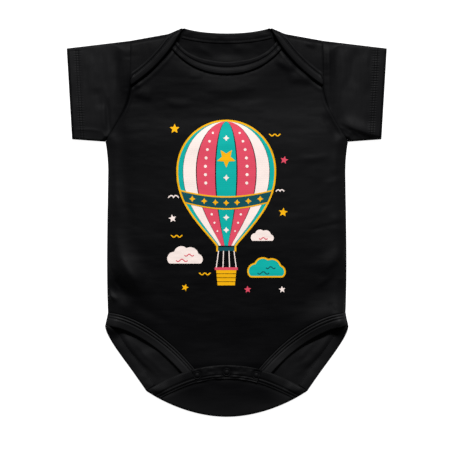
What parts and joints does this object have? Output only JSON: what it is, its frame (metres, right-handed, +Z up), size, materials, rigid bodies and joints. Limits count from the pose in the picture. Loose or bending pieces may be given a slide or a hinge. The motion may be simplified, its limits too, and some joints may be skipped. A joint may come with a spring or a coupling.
{
  "type": "infant bodysuit",
  "caption": "Short-sleeved baby bodysuit laid flat and snapped shut, with lap shoulders, bound leg openings and a balloon print.",
  "frame": {"origin": "middle of the garment's box, on the surface it lies on", "axes": "+Y from the crotch to the neck, +Z up out of the printed front, +X to the wearer's left"},
  "size_m": [0.3078, 0.374, 0.0115],
  "materials": {
    "jersey": "black cotton single jersey",
    "binding": "black cotton rib binding, folded and coverstitched",
    "snap": "black lacquered ring snap"
  },
  "bodies": {
    "root": {"back_panel": "jersey", "front_panel": "jersey", "sleeve_left": "jersey", "sleeve_right": "jersey", "shoulder_lap_left": "jersey", "shoulder_lap_right": "jersey", "crotch_tail": "jersey", "lap_binding_left": "binding", "lap_binding_right": "binding", "neck_binding_front": "binding", "neck_binding_back": "binding", "leg_binding_front_left": "binding", "leg_binding_front_right": "binding", "leg_binding_back_left": "binding", "leg_binding_back_right": "binding", "tail_binding_left": "binding", "tail_binding_right": "binding", "snap_placket": "binding", "snap_left": "snap", "snap_middle": "snap", "snap_right": "snap"}
  },
  "joints": []
}
